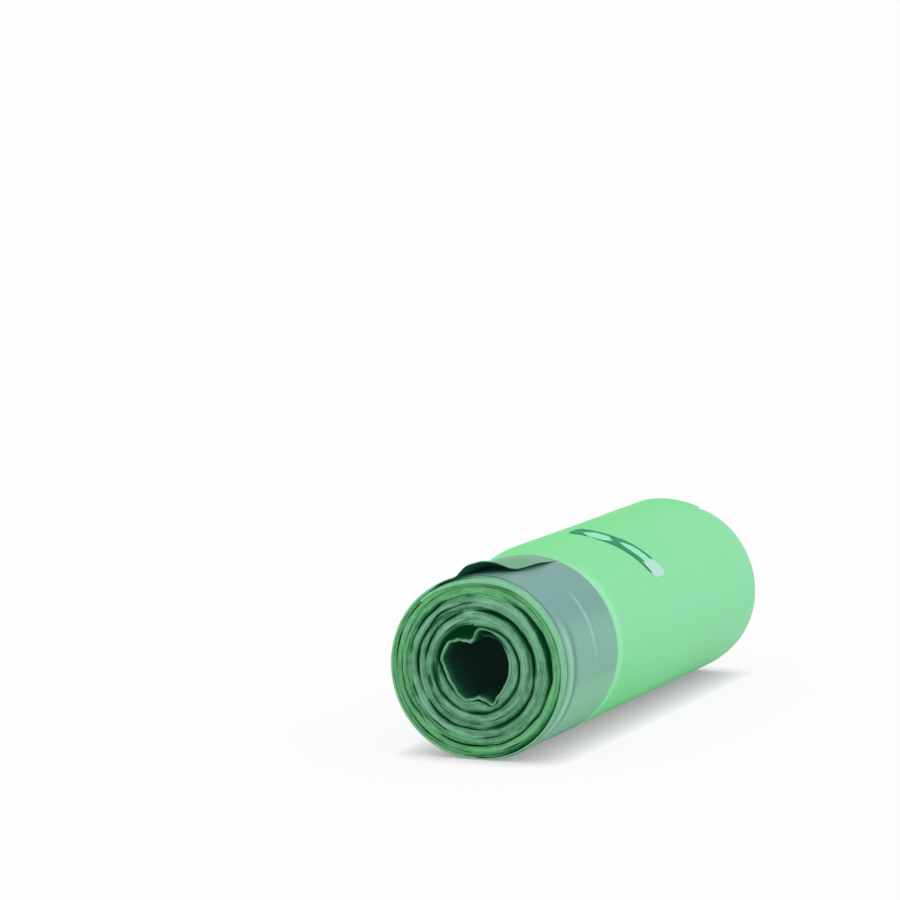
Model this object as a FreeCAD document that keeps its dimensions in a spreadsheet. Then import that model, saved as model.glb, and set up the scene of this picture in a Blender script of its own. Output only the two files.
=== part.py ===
import FreeCAD, Part
import math
import os

# A roll of green bin bags with a drawtape hem, lying on its side with a small flat spot.
# The roll's axis runs along Y. The hem end, where the tape shows, is at -Y.
# The origin is the middle of the flat spot that the roll rests on, and +Z is up.
# Angles are clock angles in degrees, seen from the hem end: 0 is the top, 90 is the +X side.
# The web winds outward clockwise. An angle below -360 is on an inner turn.

DIMENSIONS = {
    "roll_length": (225.0, "length of the roll, which is the folded width of the web"),
    "roll_diameter": (70.0, "outer diameter of the roll"),
    "flat_depth": (0.7, "how far the soft roll is flattened where it rests"),
    "core_diameter": (25.0, "mean diameter of the empty core"),
    "turn_count": (6.9, "turns of the wound web that can be told apart"),
    "turn_gap": (0.75, "mean slack between two turns"),
    "turn_gap_swing": (0.35, "how far the slack rises and falls along the web"),
    "outer_gap": (0.3, "slack under the outermost turn, where it is tight"),
    "core_slack": (1.0, "extra slack round the innermost turn, which hangs loose"),
    "crumple_depth": (1.9, "how far the film at the core is crumpled"),
    "core_fold": (1.6, "how far the inner end of the web folds into the core"),
    "lap_thickness": (0.6, "thickness of the web at its free lap"),
    "lap_bed": (0.2, "how far the flat part of the lap beds into the turn below"),
    "lap_root_angle": (-40.0, "clock angle where the lap leaves the roll"),
    "lap_edge_angle": (17.0, "clock angle of the lap's free edge"),
    "lap_lift": (4.2, "how far the loose corner of the lap stands off"),
    "lap_past_tape": (5.0, "how far the loose corner of the lap runs on past the tape"),
    "lap_peel_angle": (22.0, "how far the corner is peeled back at the hem end"),
    "tape_width": (55.0, "width of the drawtape in the hem"),
    "tape_inset": (3.0, "film left between the tape and the hem end"),
    "tape_thickness": (0.25, "thickness of the drawtape"),
    "tape_clearance": (0.05, "slack round the drawtape in its hem"),
    "tape_end_margin": (3.0, "angle kept between the tape and the root of the lap"),
    "label_width": (12.0, "width of the closing label, along the roll"),
    "label_centre": (121.0, "distance of the label from the hem end"),
    "label_start_angle": (-12.0, "clock angle of the end of the label on the lap"),
    "label_end_angle": (56.0, "clock angle of the label's other end"),
    "label_thickness": (0.2, "thickness of the closing label"),
    "label_clearance": (0.08, "adhesive under the closing label"),
}

FULL_TURN = 360.0
ARC_STEP = 15.0
LAP_ARCS = 4
DROP_ARCS = 2
LAP_SECTIONS = 9
LABEL_DROP_ANGLE = 4.0
LOOSE_LENGTH = "(sizes.tape_inset + sizes.tape_width + sizes.lap_past_tape)"
CUTTER_MARGIN = 1.0

# The slack rises and falls slowly along the web: waves in one turn, then where the first one starts.
SLACK_WAVE_RATE = 0.57
SLACK_WAVE_START = 40.0

# The innermost turns where the web hangs loose, counted from its inner end.
LOOSE_TURNS = 2.0
LOOSE_TURNS_BLEND = 0.5

# Each wave of the crumpled core: waves in one turn, share of the depth, and phase in radians.
CRUMPLE_WAVES = ((3.0, 0.30, 0.8), (5.0, 0.40, 2.1), (8.0, 0.30, 4.4))

# Angles over which the dent above the flat spot and the curl of the inner end fade.
DENT_SPREAD = 20.0
FOLD_SPREAD = 16.0

# The two waves of the loose lap, along its length from the hem end: place, spread and height, all as shares.
LAP_WAVES = ((0.08, 0.17, 1.0), (0.60, 0.25, 0.5))
LAP_PEEL_FADE = 4.0

doc = FreeCAD.newDocument("bin_bag_roll")


def make_sheet():
    """Fill the spreadsheet with the driving dimensions."""
    sizes = doc.addObject("Spreadsheet::Sheet", "sizes")
    for row, (alias, (value, note)) in enumerate(DIMENSIONS.items(), start=1):
        sizes.set(f"A{row}", alias.replace("_", " "))
        sizes.set(f"B{row}", str(value))
        sizes.setAlias(f"B{row}", alias)
        sizes.set(f"C{row}", note)
    doc.recompute()
    return sizes


sheet = make_sheet()


def size(alias):
    """Return a driving dimension from the sheet."""
    return float(sheet.get(alias))


radius = size("roll_diameter") / 2.0
axis_height = radius - size("flat_depth")
lap_root = size("lap_root_angle")
lap_edge = size("lap_edge_angle")
lap_thickness = size("lap_thickness")
turn_count = size("turn_count")
web_start = lap_root - FULL_TURN * turn_count
mean_core_turn = turn_count - 0.5
pitch = (radius - lap_thickness - size("core_diameter") / 2.0) / mean_core_turn


def smooth(share):
    """Rise from 0 to 1 with level ends."""
    share = min(max(share, 0.0), 1.0)
    return share * share * (3.0 - 2.0 * share)


def point(angle, r):
    """Place a polar point in the plane of a section, x to the side and y upward."""
    turn = math.radians(angle)
    return FreeCAD.Vector(r * math.sin(turn), axis_height + r * math.cos(turn), 0.0)


def curve(start, end, arcs, r_at):
    """Draw a row of arcs that follow the radius r_at gives at each angle."""
    step = (end - start) / arcs
    edges = []
    for i in range(arcs):
        near = start + step * i
        stations = (near, near + step / 2.0, near + step)
        edges.append(Part.Arc(*(point(angle, r_at(angle)) for angle in stations)))
    return edges


def line(angle_a, r_a, angle_b, r_b):
    """Draw a straight line between two polar points."""
    return Part.LineSegment(point(angle_a, r_a), point(angle_b, r_b))


def arc(start, end, r):
    """Draw an arc of the roll's circle between two clock angles."""
    middle = (start + end) / 2.0
    return Part.Arc(point(start, r), point(middle, r), point(end, r))


# The wound web


def depth_share(angle):
    """Return 0 at the outside of the web and 1 at its inner end."""
    return (lap_root - angle) / (FULL_TURN * turn_count)


def gap_at(angle):
    """Slack between the turn at this angle and the turn below it."""
    turns_in = (lap_root - angle) / FULL_TURN
    settled = smooth(turns_in)
    swing = size("turn_gap_swing") * math.sin(math.radians(SLACK_WAVE_RATE * angle + SLACK_WAVE_START))
    loose = size("core_slack") * smooth((turns_in - turn_count + LOOSE_TURNS) / LOOSE_TURNS_BLEND)
    return size("outer_gap") + settled * (size("turn_gap") + swing + loose - size("outer_gap"))


def crumple(angle):
    """Radial waviness of the film, strongest at the core."""
    turn = math.radians(angle)
    waves = sum(height * math.sin(count * turn + phase) for count, height, phase in CRUMPLE_WAVES)
    return size("crumple_depth") * waves * depth_share(angle) ** 3


def rest_dent(angle):
    """Flattening of the inner turns above the spot that the roll rests on."""
    from_bottom = (angle % FULL_TURN) - FULL_TURN / 2.0
    nearness = math.exp(-((from_bottom / DENT_SPREAD) ** 2))
    return size("flat_depth") * nearness * (1.0 - depth_share(angle)) ** 2


def inner_end_fold(angle):
    """Inward curl of the web's inner end, which hangs into the core."""
    from_end = angle - web_start
    return size("core_fold") * math.exp(-((from_end / FOLD_SPREAD) ** 2))


def web_inner(angle):
    """Radius of the web's inner face."""
    r = radius - lap_thickness - pitch * (lap_root - angle) / FULL_TURN
    return r + crumple(angle) - rest_dent(angle) - inner_end_fold(angle)


def web_outer(angle):
    """Radius of the web's outer face where another turn covers it."""
    above = angle + FULL_TURN
    shifted = web_inner(above) - gap_at(above)
    return shifted - inner_end_fold(angle)


def bed_radius(angle):
    """Radius of the turn that the lap lies on, from the lap's root to its edge."""
    share = (angle - lap_root) / (lap_edge - lap_root)
    return radius - (lap_thickness + size("outer_gap")) * (1.0 - smooth(share))


def flat_half_angle(r):
    """Half the angle that the flat spot takes out of a circle of radius r."""
    return math.degrees(math.acos((r - size("flat_depth")) / r))


def outside_edges(start, end, offset):
    """Draw the roll's outer face, offset outward, from an angle past the lap's root to its end."""
    r = radius + offset
    half = flat_half_angle(r)
    flat_start = FULL_TURN / 2.0 - half
    flat_end = FULL_TURN / 2.0 + half
    return [
        *curve(start, lap_edge, LAP_ARCS, lambda angle: bed_radius(angle) + offset),
        arc(lap_edge, flat_start, r),
        line(flat_start, r, flat_end, r),
        arc(flat_end, end, r),
    ]


def web_profile():
    """Draw the closed section of the wound web."""
    covered_end = lap_root - FULL_TURN
    inner_arcs = math.ceil((lap_root - web_start) / ARC_STEP)
    covered_arcs = math.ceil((covered_end - web_start) / ARC_STEP)
    return [
        *curve(web_start, lap_root, inner_arcs, web_inner),
        line(web_start, web_inner(web_start), web_start, web_outer(web_start)),
        *curve(web_start, covered_end, covered_arcs, web_outer),
        *outside_edges(lap_root, lap_root + FULL_TURN, 0.0),
        line(lap_root, radius, lap_root, web_inner(lap_root)),
    ]


# The lap over the outermost turn


def lap_edge_at(share):
    """Clock angle of the lap's free edge, share 0 at the hem end and 1 where it lies flat."""
    return lap_edge - size("lap_peel_angle") * math.exp(-LAP_PEEL_FADE * share) * (1.0 - share)


def lap_lift_at(share):
    """How far the lap's free edge stands off, and the small depth that its flat end is bedded."""
    waves = sum(height * math.exp(-(((share - place) / spread) ** 2)) for place, spread, height in LAP_WAVES)
    laid_flat = share**8
    return size("lap_lift") * waves * (1.0 - laid_flat) - size("lap_bed") * laid_flat


def lap_underside(angle, share):
    """Radius of the lap's underside."""
    across = smooth((angle - lap_root) / (lap_edge_at(share) - lap_root))
    return bed_radius(angle) + size("outer_gap") * (1.0 - across) + lap_lift_at(share) * across


def lap_profile(share):
    """Draw the closed section of the lap at one place along its loose corner."""
    edge = lap_edge_at(share)
    low = lap_underside(edge, share)
    return [
        line(lap_root, radius, lap_root, radius - lap_thickness),
        *curve(lap_root, edge, LAP_ARCS, lambda angle: lap_underside(angle, share)),
        line(edge, low, edge, low + lap_thickness),
        *curve(lap_root, edge, LAP_ARCS, lambda angle: lap_underside(angle, share) + lap_thickness)[::-1],
    ]


def flat_lap_profile():
    """Draw the section of the lap where it lies flat and fills the slack below it."""
    sunk = lap_thickness / 2.0
    low = bed_radius(lap_edge) - sunk
    return [
        line(lap_root, radius, lap_root, bed_radius(lap_root) - sunk),
        *curve(lap_root, lap_edge, LAP_ARCS, lambda angle: bed_radius(angle) - sunk),
        line(lap_edge, low, lap_edge, lap_underside(lap_edge, 1.0) + lap_thickness),
        *curve(lap_root, lap_edge, LAP_ARCS, lambda angle: lap_underside(angle, 1.0) + lap_thickness)[::-1],
    ]


# The drawtape and the closing label


def tape_profile(inset, outset, slack):
    """Draw the section of the tape, or of its recess, between two offsets of the roll's face."""
    start = lap_root + size("tape_end_margin") - slack
    end = lap_root + FULL_TURN - size("tape_end_margin") + slack
    return [
        *outside_edges(start, end, outset),
        line(end, radius + outset, end, radius - inset),
        *outside_edges(start, end, -inset),
        line(start, bed_radius(start) - inset, start, bed_radius(start) + outset),
    ]


def label_seat(angle):
    """Radius of the face that the label sticks to, over the lap and down its edge."""
    on_lap = lap_underside(min(angle, lap_edge), 1.0) + lap_thickness
    if angle <= lap_edge:
        return on_lap
    return radius + (on_lap - radius) * (1.0 - smooth((angle - lap_edge) / LABEL_DROP_ANGLE))


def label_profile():
    """Draw the section of the closing label, which crosses the lap's edge."""
    start = size("label_start_angle")
    end = size("label_end_angle")
    drop_end = lap_edge + LABEL_DROP_ANGLE
    low = size("label_clearance")
    high = low + size("label_thickness")
    edges = []
    for offset in (low, high):
        edges.extend(curve(start, lap_edge, LAP_ARCS, lambda angle: label_seat(angle) + offset))
        edges.extend(curve(lap_edge, drop_end, DROP_ARCS, lambda angle: label_seat(angle) + offset))
        edges.append(arc(drop_end, end, radius + offset))
    edges.append(line(start, label_seat(start) + low, start, label_seat(start) + high))
    edges.append(line(end, radius + low, end, radius + high))
    return edges


# Bodies and features


def new_body(name):
    """Add a body whose label names the sub-part."""
    body = doc.addObject("PartDesign::Body", name)
    body.Label = name
    return body


def section_sketch(body, name, edges, distance):
    """Draw edges across the roll, at a distance from the hem end given as an expression."""
    sketch = body.newObject("Sketcher::SketchObject", name)
    plane = next(item for item in body.Origin.OriginFeatures if item.Role == "XZ_Plane")
    sketch.AttachmentSupport = [(plane, "")]
    sketch.MapMode = "FlatFace"
    sketch.setExpression(".AttachmentOffset.Base.z", f"sizes.roll_length / 2 - ({distance})")
    sketch.addGeometry(edges, False)
    return sketch


def extrude(body, kind, name, sketch, length):
    """Run a section away from the hem end over a length given as an expression."""
    feature = body.newObject(kind, name)
    feature.Profile = sketch
    feature.Reversed = kind == "PartDesign::Pad"
    feature.setExpression("Length", length)
    doc.recompute()
    return feature


def make_bag_web():
    """Wind the web of bags, with its tape recess and its loose lap."""
    body = new_body("bag_web")
    turns = section_sketch(body, "turns_section", web_profile(), "0")
    extrude(body, "PartDesign::Pad", "wound_turns", turns, "sizes.roll_length")
    solid_volume = body.Shape.Volume

    recess_depth = size("tape_thickness") + size("tape_clearance")
    slack_angle = math.degrees(size("tape_clearance") / radius)
    recess_edges = tape_profile(recess_depth, CUTTER_MARGIN, slack_angle)
    near_edge = "sizes.tape_inset - sizes.tape_clearance"
    recess = section_sketch(body, "tape_recess_section", recess_edges, near_edge)
    extrude(body, "PartDesign::Pocket", "tape_recess", recess, "sizes.tape_width + 2 * sizes.tape_clearance")
    if not body.Shape.Volume < solid_volume:
        raise RuntimeError("the tape recess cuts nothing")

    flat_lap = section_sketch(body, "flat_lap_section", flat_lap_profile(), LOOSE_LENGTH)
    extrude(body, "PartDesign::Pad", "flat_lap", flat_lap, f"sizes.roll_length - {LOOSE_LENGTH}")

    sections = []
    for i in range(LAP_SECTIONS):
        share = i / (LAP_SECTIONS - 1)
        name = f"loose_lap_section_{i + 1}"
        sections.append(section_sketch(body, name, lap_profile(share), f"{LOOSE_LENGTH} * {share}"))
    doc.recompute()
    loose_lap = body.newObject("PartDesign::AdditiveLoft", "loose_lap")
    loose_lap.Profile = sections[0]
    loose_lap.Sections = sections[1:]
    loose_lap.Ruled = False
    doc.recompute()
    return body


def make_drawtape():
    """Lay the tape round the roll in its recess, flush with the film."""
    body = new_body("drawtape")
    edges = tape_profile(size("tape_thickness"), 0.0, 0.0)
    sketch = section_sketch(body, "tape_section", edges, "sizes.tape_inset")
    extrude(body, "PartDesign::Pad", "tape_band", sketch, "sizes.tape_width")
    return body


def make_closing_label():
    """Stick the label across the edge of the lap."""
    body = new_body("closing_label")
    near_edge = "sizes.label_centre - sizes.label_width / 2"
    sketch = section_sketch(body, "label_section", label_profile(), near_edge)
    extrude(body, "PartDesign::Pad", "label_strip", sketch, "sizes.label_width")
    return body


def check(parts):
    """Stop unless every object is sound and every sub-part is one valid solid."""
    for item in doc.Objects:
        if "Invalid" in item.State or "Error" in item.State:
            raise RuntimeError(f"{item.Name} did not build: {item.State}")
    for part in parts:
        shape = part.Shape
        if shape.isNull() or not shape.isValid():
            raise RuntimeError(f"{part.Label} has no sound shape")
        if len(shape.Solids) != 1:
            raise RuntimeError(f"{part.Label} holds {len(shape.Solids)} solids")


def main():
    """Build the sub-parts, check them and write one STEP file for each."""
    parts = [make_bag_web(), make_drawtape(), make_closing_label()]
    doc.recompute()
    check(parts)
    os.makedirs("parts", exist_ok=True)
    for part in parts:
        part.Shape.exportStep(f"parts/{part.Label}.step")
        box = part.Shape.BoundBox
        print(part.Label, "volume", round(part.Shape.Volume, 1), "box", box)


main()
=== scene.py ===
"""A roll of green bin bags with a drawtape hem, lying on its side on a pale floor.

The roll's axis runs along Y, with the hem end, where the tape shows, at -Y. Angles are clock angles in
degrees, seen from the hem end: 0 is the top and 90 is the +X side. The web winds outward clockwise, so an
angle below -360 lies one turn further in. A depth is a distance from the hem end. Sizes are in millimetres,
and a mesh is placed in metres.
"""

import logging
import math
from collections.abc import Callable
from dataclasses import dataclass, field
from enum import Enum
from typing import Any

import bmesh
import bpy
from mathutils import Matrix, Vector, noise

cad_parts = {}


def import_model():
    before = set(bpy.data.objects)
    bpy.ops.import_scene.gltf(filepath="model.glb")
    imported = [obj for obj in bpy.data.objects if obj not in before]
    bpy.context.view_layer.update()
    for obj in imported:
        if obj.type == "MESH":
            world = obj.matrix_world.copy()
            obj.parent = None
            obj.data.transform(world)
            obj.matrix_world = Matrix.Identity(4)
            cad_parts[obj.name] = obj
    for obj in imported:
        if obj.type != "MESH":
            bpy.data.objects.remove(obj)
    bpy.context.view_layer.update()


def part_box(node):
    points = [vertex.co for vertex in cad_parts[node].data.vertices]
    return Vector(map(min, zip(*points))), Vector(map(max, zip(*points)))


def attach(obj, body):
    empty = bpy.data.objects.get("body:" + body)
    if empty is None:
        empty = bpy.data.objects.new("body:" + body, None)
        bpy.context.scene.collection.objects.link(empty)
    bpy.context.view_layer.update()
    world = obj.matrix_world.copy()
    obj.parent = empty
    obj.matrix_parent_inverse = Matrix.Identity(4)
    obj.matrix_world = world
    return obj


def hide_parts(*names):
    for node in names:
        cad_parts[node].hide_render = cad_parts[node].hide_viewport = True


LOG = logging.getLogger("bin_bag_roll")

MM = 0.001
FULL_TURN = 360.0
HALF_TURN = 180.0
MERGE_DISTANCE = 1e-8

# Sockets of a Mix node that mixes colours: its factor, its two colours and its result.
MIX_FACTOR = 0
MIX_FIRST = 6
MIX_SECOND = 7
MIX_RESULT = 2


class Slot(Enum):
    """Names of the pieces' finishes: film, tape and label."""

    FILM = "film"
    TAPE = "tape"
    LABEL = "label"


class End(Enum):
    """The two ends of the roll, by their direction along Y."""

    HEM = -1.0
    FAR = 1.0


# Shapes in numbers


def smooth(share: float) -> float:
    """Rise from 0 to 1 with level ends."""
    share = min(max(share, 0.0), 1.0)
    return share * share * (3.0 - 2.0 * share)


def bump_at(x: float, place: float, spread: float) -> float:
    """Return a bell curve of height 1 at a place."""
    return math.exp(-(((x - place) / spread) ** 2))


def blend(start: float, end: float, share: float) -> float:
    """Return the value that lies a share of the way between two others."""
    return start + (end - start) * share


def window(x: float, start: float, rise: float, end: float, fall: float) -> float:
    """Rise from 0 to 1 over a length past the start, and fall back over another past the end."""
    return smooth((x - start) / rise) * (1.0 - smooth((x - end) / fall))


def from_table(table: tuple[tuple[float, float], ...], x: float) -> float:
    """Read a table of places and values, smoothed between its rows.

    Args:
        table: Rows of a place and its value, with the places rising.
        x: The place to read.

    Returns:
        The value there, or the nearest end value outside the table.
    """
    if x <= table[0][0]:
        return table[0][1]
    for (x_low, low), (x_high, high) in zip(table, table[1:]):
        if x <= x_high:
            return blend(low, high, smooth((x - x_low) / (x_high - x_low)))
    return table[-1][1]


def rough(x: float, y: float, z: float) -> float:
    """Return seeded noise between about -1 and 1 at a place."""
    return noise.noise(Vector((x, y, z)))


def wrapped(angle: float) -> float:
    """Bring an angle into the half turn either side of the top."""
    return (angle + HALF_TURN) % FULL_TURN - HALF_TURN


@dataclass(frozen=True)
class Grain:
    """Seeded unevenness: the length of its grains one way, their rate the other way, and its height."""

    length: float
    rate: float
    seed: float
    height: float = 1.0

    def at(self, along: float, across: float, side: float = 1.0) -> float:
        """Return the unevenness at a place, which differs from side to side where a side is given."""
        return self.height * rough(along / self.length, across * self.rate, self.seed * side)


# Meshes


@dataclass(frozen=True)
class Spot:
    """A vertex of a sheet: where it is, and what its finish needs to know."""

    place: Vector
    marks: dict[str, float] = field(default_factory=dict)


def warped_tube(columns: int, rows: int, spot_at: Callable[[int, int], Spot]) -> bmesh.types.BMesh:
    """Bend a flat grid into a closed loop along each column, and close both ends.

    Args:
        columns: Steps along the piece.
        rows: Steps round the loop, which ends where it starts.
        spot_at: Gives the vertex at a column and a row.

    Returns:
        The closed mesh, with its normals outward.
    """
    mesh = bmesh.new()
    bmesh.ops.create_grid(mesh, x_segments=columns, y_segments=rows, size=0.5)
    layers = {name: mesh.verts.layers.float.new(name) for name in spot_at(0, 0).marks}
    for vert in mesh.verts:
        column = round((vert.co.x + 0.5) * columns)
        row = round((vert.co.y + 0.5) * rows)
        spot = spot_at(column, row % rows)
        vert.co = spot.place * MM
        for name, layer in layers.items():
            vert[layer] = spot.marks[name]
    bmesh.ops.remove_doubles(mesh, verts=mesh.verts, dist=MERGE_DISTANCE)
    for face in mesh.faces:
        face.smooth = True
    rims = [edge for edge in mesh.edges if edge.is_boundary]
    bmesh.ops.holes_fill(mesh, edges=rims, sides=0)
    for edge in rims:
        edge.smooth = False
    bmesh.ops.recalc_face_normals(mesh, faces=mesh.faces)
    return mesh


def finished(mesh: bmesh.types.BMesh, name: str, material: bpy.types.Material) -> bpy.types.Object:
    """Turn a bmesh into an object that wears a material.

    Args:
        mesh: The finished bmesh, which is freed.
        name: The name of the piece.
        material: The material that the whole piece wears.

    Returns:
        The new object, linked to the scene.
    """
    data = bpy.data.meshes.new(name)
    mesh.to_mesh(data)
    mesh.free()
    data.materials.append(material)
    piece = bpy.data.objects.new(name, data)
    bpy.context.scene.collection.objects.link(piece)
    return piece


def seat(piece: bpy.types.Object, slot: Slot, *nodes: str) -> None:
    """Fix a piece to the roll in place of its plain solids, and report it.

    Args:
        piece: The finished piece.
        slot: The material slot for its finish; not used.
        nodes: The plain solids that it stands for.
    """
    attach(piece, "root")
    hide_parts(*nodes)
    triangles = sum(len(face.vertices) - 2 for face in piece.data.polygons)
    LOG.info("%s: %d triangles, stands for %s", piece.name, triangles, ", ".join(nodes))


# Materials


@dataclass(frozen=True)
class Colour:
    """A colour as a screen shows it, each part from 0 to 255."""

    red: float
    green: float
    blue: float

    def linear(self) -> tuple[float, float, float, float]:
        """Return the colour as light, with full cover.

        Returns:
            Red, green, blue and 1.
        """
        shares = (part / 255.0 for part in (self.red, self.green, self.blue))
        lit = [((share + 0.055) / 1.055) ** 2.4 if share > 0.04045 else share / 12.92 for share in shares]
        return (lit[0], lit[1], lit[2], 1.0)


BLACK = Colour(0, 0, 0)
WHITE = Colour(255, 255, 255)


class Wire:
    """A shader socket that takes part in Python expressions."""

    def __init__(self, shader: "Shader", socket: bpy.types.NodeSocket) -> None:
        """Wrap a socket of a shader."""
        self.shader = shader
        self.socket = socket

    def maths(self, operation: str, *values: Any) -> "Wire":
        """Add a Math node for an operation on these values."""
        return self.shader.node("ShaderNodeMath", {"operation": operation}, dict(enumerate(values)))

    def __add__(self, other: Any) -> "Wire":
        """Add a value or a socket."""
        return self.maths("ADD", self, other)

    def __radd__(self, other: Any) -> "Wire":
        """Add this socket to a value."""
        return self.maths("ADD", other, self)

    def __sub__(self, other: Any) -> "Wire":
        """Take away a value or a socket."""
        return self.maths("SUBTRACT", self, other)

    def __rsub__(self, other: Any) -> "Wire":
        """Take this socket away from a value."""
        return self.maths("SUBTRACT", other, self)

    def __mul__(self, other: Any) -> "Wire":
        """Multiply by a value or a socket."""
        return self.maths("MULTIPLY", self, other)

    def __rmul__(self, other: Any) -> "Wire":
        """Multiply a value by this socket."""
        return self.maths("MULTIPLY", other, self)

    def __truediv__(self, other: Any) -> "Wire":
        """Divide by a value or a socket."""
        return self.maths("DIVIDE", self, other)

    def __abs__(self) -> "Wire":
        """Return the size of the value."""
        return self.maths("ABSOLUTE", self)

    def between(self, low: float, high: float) -> "Wire":
        """Rise smoothly from 0 at one value to 1 at another.

        Args:
            low: The value where it is 0.
            high: The value where it is 1, above or below the other.

        Returns:
            The share, from 0 to 1.
        """
        if low > high:
            return 1.0 - self.between(high, low)
        settings = {"interpolation_type": "SMOOTHSTEP"}
        sockets = {"Value": self, "From Min": low, "From Max": high}
        return self.shader.node("ShaderNodeMapRange", settings, sockets)


class Shader:
    """The nodes of a material or of the world under construction."""

    def __init__(self, owner: bpy.types.Material | bpy.types.World) -> None:
        """Start without nodes.

        Args:
            owner: The material, whose glow is no lamp, or the world.
        """
        self.owner = owner
        owner.use_nodes = True
        if isinstance(owner, bpy.types.Material):
            owner.cycles.emission_sampling = "NONE"
        self.tree = owner.node_tree
        self.tree.nodes.clear()

    def node(
        self,
        kind: str,
        settings: dict[str, Any] | None = None,
        sockets: dict[str | int, Any] | None = None,
        output: str | int = 0,
    ) -> Wire:
        """Add a node.

        Args:
            kind: The node's type.
            settings: Properties of the node, which are set first.
            sockets: Values or wires for its inputs, by name or number.
            output: The output to hand back, by name or number.

        Returns:
            The chosen output.
        """
        node = self.tree.nodes.new(kind)
        for name, value in (settings or {}).items():
            setattr(node, name, value)
        for key, value in (sockets or {}).items():
            if isinstance(value, Wire):
                self.tree.links.new(value.socket, node.inputs[key])
            else:
                node.inputs[key].default_value = value
        return Wire(self, node.outputs[output]) if len(node.outputs) else Wire(self, node.inputs[0])

    def mark(self, name: str) -> Wire:
        """Read a mark that the mesh carries."""
        return self.node("ShaderNodeAttribute", {"attribute_name": name}, output="Fac")

    def place(self, stretch: tuple[float, float, float] = (1.0, 1.0, 1.0)) -> Wire:
        """Read the place on the piece, stretched along each axis."""
        return self.stretched(self.node("ShaderNodeTexCoord", output="Object"), stretch)

    def stretched(self, place: Wire, stretch: tuple[float, float, float]) -> Wire:
        """Stretch a place along each axis."""
        return self.node("ShaderNodeMapping", sockets={"Vector": place, "Scale": stretch})

    def noise(self, place: Wire, scale: float, detail: float = 2.0) -> Wire:
        """Return soft noise from 0 to 1."""
        return self.node("ShaderNodeTexNoise", sockets={"Vector": place, "Scale": scale, "Detail": detail})

    def mix(self, share: Wire | float, first: Colour | Wire, second: Colour | Wire) -> Wire:
        """Mix two colours by a share.

        Args:
            share: How much of the second colour shows.
            first: The colour at 0.
            second: The colour at 1.

        Returns:
            The mixed colour.
        """
        ends = [value.linear() if isinstance(value, Colour) else value for value in (first, second)]
        sockets = {MIX_FACTOR: share, MIX_FIRST: ends[0], MIX_SECOND: ends[1]}
        return self.node("ShaderNodeMix", {"data_type": "RGBA"}, sockets, MIX_RESULT)

    def bump(self, height: Wire, depth: float, strength: float) -> Wire:
        """Turn a height into a normal, with the depth in millimetres."""
        sockets = {"Height": height, "Distance": depth * MM, "Strength": strength}
        return self.node("ShaderNodeBump", sockets=sockets)

    def finish(self, sockets: dict[str, Any]) -> bpy.types.Material:
        """Close the material with a principled shader that has these values.

        Args:
            sockets: Values or wires for the principled shader's inputs, by name.

        Returns:
            The finished material.
        """
        surface = self.node("ShaderNodeBsdfPrincipled", sockets=sockets)
        self.node("ShaderNodeOutputMaterial", sockets={"Surface": surface})
        return self.owner


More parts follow.
